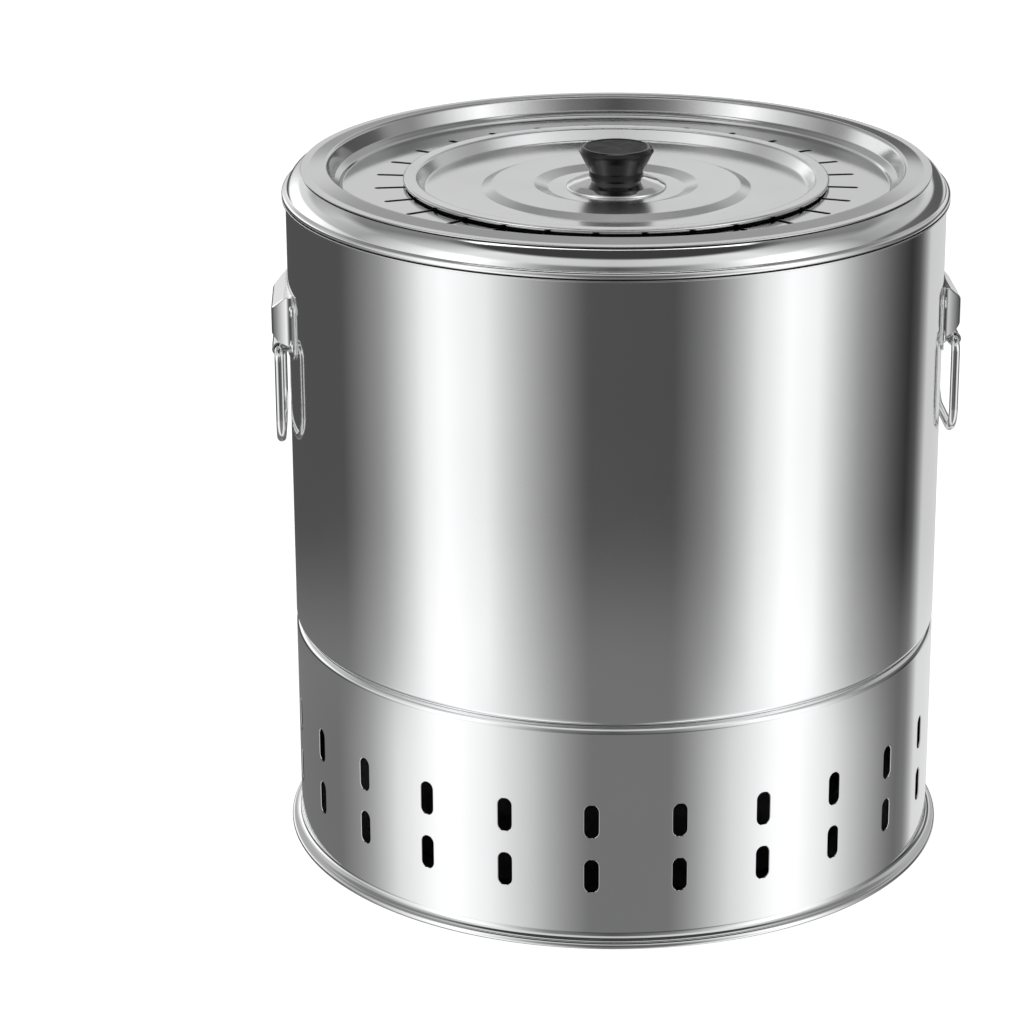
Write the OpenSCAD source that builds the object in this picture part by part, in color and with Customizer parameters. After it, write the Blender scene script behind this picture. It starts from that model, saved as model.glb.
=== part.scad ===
// Bucket grill: a charcoal drum on a ventilated base, with a slotted ring that hangs skewers over the
// fire and a small lid in its middle. Millimetres, +Z up, the table at z = 0, the handles on X.

/* [Bucket] */
// Outer radius of the base and of the barrel
bucket_r = 200; // [180:1:240]
// Thickness of the steel sheet
sheet = 1; // [0.8:0.1:1.2]
// Height of the base, from the table to the seam
base_h = 140; // [130:1:200]
// Height of the barrel wall above the seam
barrel_h = 268; // [240:1:400]
// Radius of the two rolled edges that meet at the seam
seam_r = 4.5; // [3:0.5:6]
// Width of the flat rim inside the rolled edge
seam_rim_w = 8; // [6:0.5:12]

/* [Foot] */
// How far the rolled foot stands out from the wall
foot_w = 6.3; // [5.6:0.1:9]
// Height of the rolled foot
foot_h = 4.2; // [3:0.1:5]
// Radius of the hollow curve from the wall to the foot
foot_curve = 3; // [1:0.5:3]

/* [Vents] */
// Number of vent columns round the base
vent_columns = 24; // [16:4:28]
// Number of vent rows
vent_rows = 2; // [1:1:2]
// Width of a vent slot
vent_w = 8.5; // [5:0.5:11]
// Length of a vent slot
vent_len = 21; // [14:1:26]
// Height of the middle of the lowest row
vent_z = 45; // [40:1:50]
// Distance between rows
vent_pitch = 35; // [32:1:40]

/* [Base inside] */
// Height of the base floor above the table
floor_z = 9; // [7:1:14]
// Height of the turned-up edge of welded floors
floor_lip = 10; // [6:1:14]
// How far the seat ring stands up inside the barrel
seat_up = 14; // [8:1:20]
// How far the seat ring hangs below the seam
seat_down = 8; // [6:1:12]
// Width of the shelf that carries the air plate
shelf_w = 14; // [10:1:18]
// Room for fingers between the ash pan and the wall
ash_gap = 48; // [30:1:70]
// Height of the ash pan
ash_h = 26; // [16:1:36]

/* [Fire] */
// Thickness of the air plate
plate_t = 1.5; // [1:0.5:2]
// Radius of an air hole
hole_r = 4; // [2:0.5:5]
// Distance between rings of air holes
hole_pitch = 16; // [13:0.5:17]
// Number of rings of air holes
hole_rings = 4; // [2:1:4]
// Outer radius of the charcoal basket
basket_r = 80; // [75:1:95]
// Height of the charcoal basket
basket_h = 150; // [120:1:160]
// Height of the basket floor above the air plate
basket_floor_up = 8; // [4:1:14]
// Width of the turned-out rim of the basket
basket_rim = 4; // [2:0.5:6]
// Number of slot columns round the basket
basket_columns = 12; // [8:2:16]
// Number of slot rows up the basket
basket_rows = 2; // [1:1:2]
// Width of a slot in the basket
basket_slot_w = 9; // [6:0.5:12]
// Length of a slot in the basket
basket_slot_len = 40; // [24:1:44]
// Width of a lifting lug
lug_w = 22; // [14:1:30]
// How far a lifting lug stands out
lug_out = 12; // [9:1:16]
// Height of a lifting lug
lug_h = 18; // [12:1:24]
// Radius of the hook hole in a lug
lug_hole_r = 2.5; // [1.5:0.5:3]
// Height of the drip tray
tray_h = 30; // [20:1:40]

/* [Mouth] */
// How far the bead stands out from the wall
bead_out = 2.2; // [1.5:0.1:3]
// Height of the bead
bead_h = 4.5; // [4:0.1:6]
// Height of the shoulder above the bead
shoulder_h = 11; // [10:0.5:16]
// How far the shoulder runs in from the wall to the seat of the ring
shoulder_run = 9.5; // [6:0.5:11]
// Bulge of the shoulder, from a straight cone at 0 to a full corner at 1
shoulder_bulge = 0.45; // [0.2:0.05:0.9]
// How far the shoulder is set back from the wall
shoulder_in = 0.5; // [0.3:0.1:1]
// Depth of the lip inside the mouth
mouth_lip = 8; // [5:0.5:12]

/* [Skewer ring] */
// How far the ring's edge is set back from the shoulder
ring_in = 8.8; // [7:0.1:10]
// Width of the ring's flange
flange_w = 16.5; // [14:0.5:22]
// Width of the flat outer part of the flange, which sits on the mouth
flange_flat = 5; // [3:0.5:6]
// Rise of the flange towards its inner edge
flange_rise = 1.7; // [1:0.1:3]
// Depth of the ring's well below the top of its flange
well_depth = 12.8; // [10:0.1:16]
// Width of the sloping wall of the well
well_slope = 3.5; // [3:0.5:6]
// Height of the small ledge round the well
ledge_h = 3.4; // [2.5:0.1:4.5]
// Width of that ledge
ledge_w = 4; // [3:0.5:6]
// Width of the well's flat floor outside the lid
well_floor_w = 36; // [30:0.5:40]
// Number of skewer slots
slot_count = 28; // [16:2:32]
// Width of a skewer slot
slot_w = 4; // [3:0.5:6]
// How far a slot runs out past the edge of the lid
slot_out = 17.5; // [10:0.5:24]
// Turn of the ring in the mouth, in degrees
ring_turn = -2.6; // [-6:0.1:6]
// Height of the curb that carries the lid
curb_h = 3.1; // [2:0.1:4]

/* [Lid] */
// Width of the lid's flange
lid_flange_w = 8.4; // [7:0.1:11]
// Depth of the lid's pan below its flange
lid_depth = 7.5; // [5:0.1:9]
// Width of the sloping wall of the pan
lid_slope = 4.3; // [3:0.1:6]
// Width of the flat outer floor of the pan
lid_floor_w = 34.5; // [28:0.5:37]
// Height of the raised step in the pan
step_h = 2.5; // [1.5:0.1:3.5]
// Width of the outer slope of the step
step_slope = 6.5; // [4:0.5:9]
// Width of the slope down to the dish under the knob
dish_slope = 8.6; // [5:0.1:10]
// Flat of the dish outside the knob
dish_w = 10.8; // [8:0.1:13]

/* [Knob] */
// Radius of the knob's flared skirt
skirt_r = 30.6; // [26:0.1:34]
// Height of the skirt
skirt_h = 9; // [7:0.5:12]
// Height of the stem at the top of the skirt
stem_h = 2.6; // [1:0.1:3.5]
// Width of the steeper lip between the skirt's cone and its edge
skirt_lip = 4.6; // [3:0.1:6]
// Height of the skirt's upright edge
skirt_edge = 1; // [0.9:0.1:2]
// Radius of the neck, where the grip sits on the skirt
neck_r = 15.6; // [12:0.1:18]
// Radius of the grip at its widest
grip_r = 22.9; // [20:0.1:28]
// Height of the grip
grip_h = 16; // [14:0.5:24]
// Height of the straight neck under the grip's cone
neck_h = 1; // [0.5:0.1:3]
// Height of the bevel round the top of the grip
grip_bevel = 2.6; // [1:0.1:3.5]
// Radius of the threaded insert in the grip
insert_r = 4.5; // [4:0.1:6]
// Length of the threaded insert
insert_len = 11; // [8:0.5:12]
// Radius of the knob screw
screw_r = 2.5; // [2:0.1:3]
// Radius of the screw's head
screw_head_r = 4.6; // [4.2:0.1:5.5]
// Height of the screw's head
screw_head_h = 3; // [2:0.1:4]
// Radius of the washer under the head
washer_r = 8; // [6:0.5:11]

/* [Handles] */
// Distance between the two legs of a bail
bail_w = 72; // [60:1:110]
// Drop of a bail from its pivot to its grip bar
bail_drop = 58; // [44:1:80]
// Diameter of the bail wire
wire_d = 5.5; // [4:0.5:7]
// Radius of the lower corners of a bail
bail_corner = 16; // [10:1:20]
// Radius of the bend at the top of each leg
bail_bend = 6; // [5:0.5:7.5]
// Height of the pivots above the seam
pivot_h = 180; // [140:1:195]
// Thickness of the pressed bracket
bracket_t = 1.2; // [1:0.1:1.5]
// How far the hood stands out from the plate
hood_depth = 8.5; // [6:0.5:11]
// Height of the hood above the knuckle
hood_h = 28.5; // [22:0.5:36]
// Size of the bevel above the hood's face
hood_chamfer = 8; // [5:0.5:8.5]
// Size of the bevel below the hood's face
hood_toe = 4; // [2:0.5:6]
// Sideways slope of the hood's ends, as width over depth
hood_slope = 1; // [0.6:0.05:1.2]
// Width of the flange beside the hood
bracket_side = 10; // [9:0.5:16]
// Width of the flange above the hood
bracket_edge = 3; // [2:0.5:6]
// Radius of the bracket's corners
bracket_corner = 9; // [3:0.5:12]
// Radius of a rivet's shank
rivet_r = 1.8; // [1.4:0.1:2.2]
// Radius of a rivet's head
rivet_head_r = 3.6; // [3:0.1:4]
// Height of a rivet's head
rivet_head_h = 1.6; // [1:0.1:2.5]
// Vertical distance between two rivets
rivet_pitch = 22; // [14:1:26]

/* [Clearances] */
// Gap left where two pieces are welded
weld_gap = 0.1; // [0.05:0.05:0.2]
// Gap round pieces that lift out
lift_gap = 0.6; // [0.4:0.1:1]
// Gap between the air plate and the seat ring
plate_gap = 5.5; // [2:0.5:8]
// Gap round the drip tray, inside and outside
tray_gap = 9; // [4:0.5:14]
// Gap between the lid's flange edge and the curb inside it
lid_gap = 1.2; // [0.9:0.1:2]
// Gap round a pin that turns
pin_gap = 0.1; // [0.05:0.05:0.2]
// Gap between a bail's tips and the plate behind them
wire_gap = 1.4; // [1:0.1:2]
// Gap between a bail's tips and the knuckle round them
knuckle_gap = 0.4; // [0.3:0.1:0.8]
// Gap between a bail's legs and the hood beside them
bail_gap = 2; // [1:0.25:4]

/* [Hidden] */
$fn = 96;
arc_steps = 6;
steel = [0.78, 0.79, 0.8];
dark_steel = [0.42, 0.42, 0.43];
bakelite = [0.06, 0.06, 0.06];
brass = [0.75, 0.6, 0.3];

// Base, from the foot up to the seat of the air plate
foot_r = foot_h / 2;
seat_r = bucket_r - seam_r - seam_rim_w;
seat_in = seat_r - weld_gap - sheet;
shelf_z = base_h - seat_down + sheet;
ash_r = bucket_r - sheet - ash_gap;
ash_z = floor_z + sheet;

// Fire, from the air plate up
plate_r = seat_in - plate_gap;
fire_z = shelf_z + plate_t;
basket_in = basket_r - sheet;
basket_top = fire_z + basket_h;
lug_r = basket_r + lug_out;
tray_in = lug_r + tray_gap;
tray_out = plate_r - tray_gap;
basket_slot_pitch = (basket_h - basket_floor_up - lug_h) / basket_rows;

// Mouth, ring and lid, each from the piece that carries it
lock_z = base_h + barrel_h;
collar_z = lock_z + sheet;
collar_r = bucket_r - shoulder_in;
collar_top = collar_z + bead_h + shoulder_h;
ring_r = collar_r - ring_in;
ring_z = collar_top + sheet;
ring_top = ring_z + flange_rise;
flange_in = ring_r - flange_w;
mouth_r = flange_in + sheet + lift_gap;
well_z = ring_top - well_depth;
ledge_r = flange_in - well_slope;
floor_r = ledge_r - ledge_w - ledge_h / 2;
lid_r = floor_r - well_floor_w;
slot_end = lid_r + slot_out;
lid_z = well_z + curb_h + sheet;
lid_well = lid_r - lid_flange_w;
curb_r = lid_well + lid_gap + sheet;
pan_z = lid_z - lid_depth;
pan_r = lid_well - lid_slope;
step_r = pan_r - lid_floor_w;
dish_r = skirt_r + dish_w;
screw_hole = screw_r + 2 * pin_gap;

// Knob, from the dish up
skirt_top = pan_z + skirt_h;
grip_top = skirt_top + grip_h;
washer_z = pan_z - 2 * sheet;

// Handles on X, from the wall out
wire_r = wire_d / 2;
bracket_in = bucket_r + weld_gap;
bracket_out = bracket_in + bracket_t;
pivot_r = bracket_out + wire_gap + wire_r;
pivot_z = base_h + pivot_h;
wire_in = pivot_r - wire_r;
knuckle_r = wire_r + knuckle_gap + bracket_t;
knuckle_half = bail_w / 2 - bail_bend - bail_gap / 2;
tip_in = knuckle_half - 3 * wire_r;
hood_out = bracket_out + hood_depth;
hood_half = bail_w / 2 - wire_r - bail_gap;
hood_low = pivot_z + knuckle_r;
foot_sum = hood_half + wire_in * hood_slope;
foot_x = (
    foot_sum * hood_slope
    + sqrt((1 + hood_slope ^ 2) * bracket_out ^ 2 - foot_sum ^ 2)
) / (1 + hood_slope ^ 2);
hood_foot = foot_sum - hood_slope * foot_x;
hood_root = foot_x - bracket_side;
bracket_half = hood_foot + bracket_side;
bracket_h = 2 * knuckle_r + hood_h + bracket_edge;
bracket_z = pivot_z - knuckle_r;
rivet_y = hood_foot + bracket_side / 2;
rivet_a = asin(rivet_y / bucket_r);
rivet_z = bracket_z + bracket_h / 2;
backing_r = bucket_r - sheet - weld_gap;

// Points of an arc in the r-z plane, from angle a to angle b
function arc(r, z, radius, a, b) =
    [for (i = [0:arc_steps])
        let (turn = a + (b - a) * i / arc_steps)
        [r, z] + radius * [cos(turn), sin(turn)]];

// Points of the collar's shoulder, from the bead up to the seat of the ring
function shoulder() =
    let (low = [collar_r, collar_z + bead_h])
    let (high = [collar_r - shoulder_run, collar_top])
    let (bulge = (low + high) / 2 * (1 - shoulder_bulge) + [low[0], high[1]] * shoulder_bulge)
    [for (i = [0:arc_steps])
        let (t = i / arc_steps)
        low * (1 - t) ^ 2 + bulge * 2 * t * (1 - t) + high * t ^ 2];

// Unit normal on the left of the step from p to q
function left_of(p, q) = [p[1] - q[1], q[0] - p[0]] / norm(q - p);

// Offset direction at point i of a path, so that both sides keep the same thickness
function corner(path, i) =
    let (a = i == 0 ? left_of(path[0], path[1]) : left_of(path[i - 1], path[i]))
    let (b = i == len(path) - 1 ? a : left_of(path[i], path[i + 1]))
    (a + b) / (1 + a * b);

// Path moved to its left by t
function moved(path, t) = [for (i = [0:len(path) - 1]) path[i] + t * corner(path, i)];

// Closed outline of sheet metal whose one face follows a path, with its thickness t on the left
function bent(path, t) =
    let (other = moved(path, t))
    concat(path, [for (i = [len(path) - 1:-1:0]) other[i]]);

// Round piece with an outline in the r-z plane
module lathe(outline) {
    rotate_extrude() polygon(outline);
}

// Slot outline along Y, with round ends
module slot_outline(width, length) {
    ends = (length - width) / 2;
    square([width, 2 * ends], center = true);
    for (side = [-ends, ends])
    translate([0, side]) circle(d = width);
}

// Rectangle centred on the origin, with round corners
module rounded(w, h, r) {
    x = w / 2 - r;
    y = h / 2 - r;
    polygon(concat(
        arc(x, y, r, 0, 90), arc(-x, y, r, 90, 180), arc(-x, -y, r, 180, 270), arc(x, -y, r, 270, 360)
    ));
}

// Rows of upright slots cut through a round wall
module wall_slots(radius, columns, rows, width, length, low_z, pitch) {
    for (i = [0:columns - 1], j = [0:rows - 1])
    rotate([0, 0, (i + 0.5) * 360 / columns])
    translate([radius - 4 * sheet, 0, low_z + j * pitch])
    rotate([90, 0, 90])
    linear_extrude(8 * sheet) slot_outline(width, length);
}

// Rings of round holes, cut upwards from z
module air_holes(z, depth) {
    $fn = 24;
    translate([0, 0, z - depth]) cylinder(r = hole_r, h = 3 * depth);
    for (k = [1:hole_rings], i = [0:6 * k - 1])
    rotate([0, 0, i * 60 / k])
    translate([k * hole_pitch, 0, z - depth])
    cylinder(r = hole_r, h = 3 * depth);
}

// Base drum: flat rim, rolled seam edge, wall, and rolled foot with a flat underside
module base_shell() {
    color(steel)
    difference() {
        lathe(bent(concat(
            [[seat_r, base_h]],
            arc(bucket_r - seam_r, base_h - seam_r, seam_r, 90, 0),
            arc(bucket_r + foot_curve, foot_h + foot_curve, foot_curve, 180, 270),
            arc(bucket_r + foot_w - foot_r, foot_r, foot_r, 90, -90),
            [[bucket_r - sheet, 0]]
        ), -sheet));
        wall_slots(bucket_r, vent_columns, vent_rows, vent_w, vent_len, vent_z, vent_pitch);
    }
}

// Closed floor of the base, welded to the wall by its turned-up edge
module base_floor() {
    edge = bucket_r - sheet - weld_gap;
    color(dark_steel)
    lathe(bent([[edge, floor_z + floor_lip], [edge, floor_z], [0, floor_z]], -sheet));
}

// Seat ring: an upright band that centres the barrel, and a shelf inside it
module seat_ring() {
    edge = seat_r - weld_gap;
    low = base_h - seat_down;
    color(steel)
    lathe(bent([[edge, base_h + seat_up], [edge, low], [edge - shelf_w, low]], -sheet));
}

module ash_pan() {
    color(dark_steel)
    lathe(bent([[ash_r, ash_z + ash_h], [ash_r, ash_z], [0, ash_z]], -sheet));
}

module air_plate() {
    color(dark_steel)
    difference() {
        translate([0, 0, shelf_z]) cylinder(r = plate_r, h = plate_t);
        air_holes(shelf_z, plate_t);
    }
}

// Ring-shaped tray that lies on the air plate, round the basket
module drip_tray() {
    color(steel)
    lathe(bent([
        [tray_in, fire_z + tray_h], [tray_in, fire_z], [tray_out, fire_z], [tray_out, fire_z + tray_h]
    ], sheet));
}

module basket_wall() {
    color(dark_steel)
    difference() {
        lathe(bent([
            [basket_r, fire_z], [basket_r, basket_top - sheet], [basket_r + basket_rim, basket_top - sheet]
        ], sheet));
        wall_slots(
            basket_r, basket_columns, basket_rows, basket_slot_w, basket_slot_len,
            fire_z + basket_floor_up + basket_slot_pitch / 2 + sheet, basket_slot_pitch
        );
    }
}

// Perforated floor of the basket, welded to the wall by its turned-down edge
module basket_floor() {
    edge = basket_in - weld_gap;
    z = fire_z + basket_floor_up;
    color(dark_steel)
    difference() {
        lathe(bent([[edge, fire_z + basket_floor_up / 4], [edge, z + sheet], [0, z + sheet]], sheet));
        air_holes(z, sheet);
    }
}

// Two bent lugs under the basket's rim, with a hole for a lifting hook
module basket_lugs() {
    top = basket_top - sheet - weld_gap;
    root = basket_r + weld_gap;
    tab_z = top - lug_h;
    color(dark_steel)
    for (side = [0, 180])
    rotate([0, 0, side])
    difference() {
        translate([0, lug_w / 2, 0])
        rotate([90, 0, 0])
        linear_extrude(lug_w)
        polygon(bent([[root, top], [root, tab_z], [lug_r, tab_z]], plate_t));
        translate([(root + plate_t + lug_r) / 2, 0, tab_z - plate_t])
        cylinder(r = lug_hole_r, h = 3 * plate_t);
    }
}

// Barrel: flat rim and rolled edge at the seam, wall, and the flange that the mouth is seamed to
module barrel_shell() {
    color(steel)
    difference() {
        lathe(bent(concat(
            [[seat_r + lift_gap, base_h]],
            arc(bucket_r - seam_r, base_h + seam_r, seam_r, -90, 0),
            [[bucket_r, lock_z], [bucket_r + bead_out, lock_z]]
        ), sheet));
        rivet_holes();
        mirror([1, 0, 0]) rivet_holes();
    }
}

// Mouth collar: bead, rounded shoulder, flat seat and the lip inside
module mouth_collar() {
    bead_r = bead_h / 2;
    color(steel)
    lathe(bent(concat(
        [[bucket_r - sheet, collar_z]],
        arc(bucket_r + bead_out - bead_r, collar_z + bead_r, bead_r, -90, 90),
        shoulder(),
        [[mouth_r, collar_top], [mouth_r, collar_top - mouth_lip]]
    ), sheet));
}

// Holes for the rivets of the handle on +X
module rivet_holes() {
    for (a = [-rivet_a, rivet_a], dz = [-rivet_pitch / 2, rivet_pitch / 2])
    rotate([0, 0, a])
    translate([bucket_r - 5 * sheet, 0, rivet_z + dz])
    rotate([0, 90, 0])
    cylinder(r = rivet_r + pin_gap, h = 10 * sheet + bracket_t);
}

// Four-sided hood standing on the wall, all its faces moved in by an inset
module hood_block(inset) {
    high = hood_low + hood_h;
    side = [
        [hood_root, hood_low], [hood_out - hood_toe, hood_low], [hood_out, hood_low + hood_toe],
        [hood_out, high - hood_chamfer], [hood_out - hood_chamfer, high], [hood_root, high]
    ];
    plan = [
        [hood_root, -hood_half - (wire_in - hood_root) * hood_slope],
        [hood_out, -hood_half + (hood_out - wire_in) * hood_slope],
        [hood_out, hood_half - (hood_out - wire_in) * hood_slope],
        [hood_root, hood_half + (wire_in - hood_root) * hood_slope]
    ];
    intersection() {
        translate([0, bracket_half, 0])
        rotate([90, 0, 0])
        linear_extrude(2 * bracket_half) polygon(moved(side, inset));
        translate([0, 0, bracket_z])
        linear_extrude(bracket_h) polygon(moved(plan, inset));
    }
}

// Curved plate on the wall, as wide as the bracket, between two radii
module wall_plate(r_in, r_out) {
    turn = asin(bracket_half / bucket_r) + 1;
    intersection() {
        rotate([0, 0, -turn])
        rotate_extrude(angle = 2 * turn)
        translate([r_in, bracket_z]) square([r_out - r_in, bracket_h]);
        translate([0, 0, bracket_z + bracket_h / 2])
        rotate([90, 0, 90])
        linear_extrude(2 * bucket_r) rounded(2 * bracket_half, bracket_h, bracket_corner);
    }
}

// Knuckle below the hood that holds the tips of the bail, with the web behind it
module knuckle_block() {
    depth = pivot_r - hood_root;
    translate([pivot_r, knuckle_half, pivot_z])
    rotate([90, 0, 0])
    linear_extrude(2 * knuckle_half)
    union() {
        circle(r = knuckle_r);
        translate([-depth, 0]) square([depth, knuckle_r + bracket_t / 2]);
    }
}

// Bracket on +X: a plate on the wall with a hollow pressed hood, and a bored knuckle below the hood
module bracket() {
    color(steel)
    difference() {
        union() {
            wall_plate(bracket_in, bracket_out);
            difference() {
                union() {
                    hood_block(0);
                    knuckle_block();
                }
                cylinder(r = bracket_in, h = 2 * pivot_z);
            }
        }
        hood_block(bracket_t);
        translate([pivot_r, bail_w / 2, pivot_z])
        rotate([90, 0, 0]) cylinder(r = wire_r + knuckle_gap, h = bail_w);
        rivet_holes();
    }
}

module left_bracket() {
    mirror([1, 0, 0]) bracket();
}

module right_bracket() {
    bracket();
}

// Backing strip inside the wall, under the rivet tails on +X
module backing() {
    color(steel)
    difference() {
        wall_plate(backing_r - bracket_t, backing_r);
        rivet_holes();
    }
}

module left_backing() {
    mirror([1, 0, 0]) backing();
}

module right_backing() {
    backing();
}

// Rivets of the handle on +X: round head outside, shank, and flat tail inside
module rivets() {
    inner = backing_r - bracket_t - weld_gap;
    outer = bracket_out + weld_gap;
    color(steel)
    for (a = [-rivet_a, rivet_a], dz = [-rivet_pitch / 2, rivet_pitch / 2])
    rotate([0, 0, a])
    translate([0, 0, rivet_z + dz])
    rotate([0, 90, 0])
    rotate_extrude()
    polygon(concat(
        [[0, inner - rivet_head_h / 2], [rivet_head_r - rivet_head_h / 2, inner - rivet_head_h / 2]],
        [[rivet_head_r, inner], [rivet_r, inner], [rivet_r, outer], [rivet_head_r, outer]],
        [[rivet_head_r - rivet_head_h / 2, outer + rivet_head_h * 0.75], [0, outer + rivet_head_h]]
    ));
}

module left_rivets() {
    mirror([1, 0, 0]) rivets();
}

module right_rivets() {
    rivets();
}

// Straight wire along +Z
module wire(length) {
    cylinder(r = wire_r, h = length, $fn = 48);
}

// Quarter turn of wire in the Y-Z plane, about a centre at y, z
module wire_bend(y, z, radius, from) {
    translate([0, y, z])
    rotate([90, 0, 90])
    rotate([0, 0, from])
    rotate_extrude(angle = 90)
    translate([radius, 0]) circle(r = wire_r, $fn = 48);
}

// Bail on +X, hanging: two tips in the knuckle, two legs and a grip bar
module bail() {
    leg_y = bail_w / 2;
    bar_z = -bail_drop;
    color(steel)
    translate([pivot_r, 0, pivot_z])
    union() {
        translate([0, bail_corner - leg_y, bar_z]) rotate([-90, 0, 0]) wire(bail_w - 2 * bail_corner);
        for (side = [0, 1])
        mirror([0, side, 0]) {
            wire_bend(leg_y - bail_corner, bar_z + bail_corner, bail_corner, 270);
            translate([0, leg_y, bar_z + bail_corner]) wire(bail_drop - bail_corner - bail_bend);
            wire_bend(leg_y - bail_bend, -bail_bend, bail_bend, 0);
            translate([0, tip_in, 0]) rotate([-90, 0, 0]) wire(leg_y - bail_bend - tip_in);
        }
    }
}

module left_bail() {
    mirror([1, 0, 0]) bail();
}

module right_bail() {
    bail();
}

// Skewer ring: flange on the mouth, stepped well, slotted floor and the curb that carries the lid
module skewer_ring() {
    slot_len = slot_end - curb_r + 4 * sheet;
    color(steel)
    difference() {
        lathe(bent([
            [ring_r, ring_z], [ring_r - flange_flat, ring_z], [flange_in, ring_top],
            [ledge_r, well_z + ledge_h], [ledge_r - ledge_w, well_z + ledge_h / 2], [floor_r, well_z],
            [curb_r, well_z], [curb_r, well_z + curb_h]
        ], sheet));
        for (i = [0:slot_count - 1])
        rotate([0, 0, ring_turn + (i + 0.5) * 360 / slot_count])
        translate([0, slot_end - slot_len / 2, well_z - 4 * sheet])
        linear_extrude(8 * sheet + curb_h) slot_outline(slot_w, slot_len);
    }
}

// Lid: flange, pan with a raised step, and the dish that the knob stands in
module lid_pan() {
    color(steel)
    lathe(bent([
        [lid_r, lid_z], [lid_well, lid_z], [pan_r, pan_z], [step_r, pan_z],
        [step_r - step_slope, pan_z + step_h], [dish_r + dish_slope, pan_z + step_h],
        [dish_r, pan_z], [screw_hole, pan_z]
    ], sheet));
}

// Hollow flared skirt under the grip
module knob_skirt() {
    edge_z = pan_z + skirt_edge;
    color([0.85, 0.85, 0.86])
    lathe(bent([
        [screw_hole, skirt_top], [neck_r, skirt_top], [neck_r, skirt_top - stem_h],
        [skirt_r - skirt_lip, edge_z + skirt_lip / 2], [skirt_r, edge_z], [skirt_r, pan_z]
    ], -sheet));
}

// Moulded grip with a blind hole for the insert
module knob_grip() {
    hole = insert_r + pin_gap;
    color(bakelite)
    lathe([
        [hole, skirt_top], [neck_r, skirt_top], [neck_r, skirt_top + neck_h],
        [grip_r, grip_top - grip_bevel], [grip_r - grip_bevel / 2, grip_top - grip_bevel / 4],
        [grip_r - grip_bevel, grip_top], [0, grip_top],
        [0, skirt_top + insert_len + pin_gap], [hole, skirt_top + insert_len + pin_gap]
    ]);
}

module knob_insert() {
    color(brass)
    translate([0, 0, skirt_top])
    difference() {
        cylinder(r = insert_r, h = insert_len);
        translate([0, 0, -1]) cylinder(r = screw_r + pin_gap, h = insert_len + 2);
    }
}

// Screw from under the lid into the insert
module knob_screw() {
    color(steel)
    translate([0, 0, washer_z])
    union() {
        cylinder(r = screw_r, h = 2 * sheet + skirt_h + insert_len - 1);
        translate([0, 0, -screw_head_h]) cylinder(r = screw_head_r, h = screw_head_h);
    }
}

module knob_washer() {
    color(steel)
    translate([0, 0, washer_z])
    difference() {
        cylinder(r = washer_r, h = sheet);
        translate([0, 0, -1]) cylinder(r = screw_hole, h = sheet + 2);
    }
}

base_shell();
base_floor();
seat_ring();
ash_pan();
air_plate();
drip_tray();
basket_wall();
basket_floor();
basket_lugs();
barrel_shell();
mouth_collar();
left_bracket();
right_bracket();
left_backing();
right_backing();
left_rivets();
right_rivets();
left_bail();
right_bail();
skewer_ring();
lid_pan();
knob_skirt();
knob_grip();
knob_insert();
knob_screw();
knob_washer();
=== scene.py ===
"""Looks of the bucket grill: fine sheet-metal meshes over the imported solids, materials, light and camera."""

import math

import bpy
from mathutils import Matrix, Vector


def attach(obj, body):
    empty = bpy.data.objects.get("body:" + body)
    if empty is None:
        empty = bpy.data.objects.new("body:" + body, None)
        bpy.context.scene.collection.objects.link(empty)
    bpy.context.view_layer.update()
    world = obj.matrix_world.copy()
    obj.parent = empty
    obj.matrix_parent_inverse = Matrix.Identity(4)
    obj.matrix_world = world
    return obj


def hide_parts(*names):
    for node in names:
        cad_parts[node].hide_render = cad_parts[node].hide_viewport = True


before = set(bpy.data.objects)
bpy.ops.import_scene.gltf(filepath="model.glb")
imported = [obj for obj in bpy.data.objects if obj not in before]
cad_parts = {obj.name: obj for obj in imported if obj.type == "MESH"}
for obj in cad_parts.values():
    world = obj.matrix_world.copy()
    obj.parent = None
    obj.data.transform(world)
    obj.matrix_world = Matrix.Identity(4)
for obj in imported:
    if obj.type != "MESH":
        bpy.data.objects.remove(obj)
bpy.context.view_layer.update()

# Sizes in millimetres, as in the part's source
MM = 0.001
SHEET = 1.0
EDGE = 0.3
WELD_GAP = 0.1
BUCKET_R = 200.0
BASE_H = 140.0
SEAT_R = 187.5
FOOT_R = 206.3
FOOT_H = 4.2
LOCK_Z = 408.0
COLLAR_Z = 409.0
MOUTH_Z = 424.5
PAN_Z = 411.0
FIRE_Z = 134.5
PIVOT_R = 205.45
PIVOT_Z = 320.0
WIRE_R = 2.75


# Paths and meshes

BEND_STEP = math.radians(11)
STRAIGHT = 1e-4
ON_AXIS = 1e-6
LEAST_STEP = 1e-3
LEAST_HALF = 1e-6
MERGE_DECIMALS = 4
ROUND_STEPS = 5
SCAN_STEPS = 4000


def left_of(d):
    return Vector((-d.y, d.x))


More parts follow.
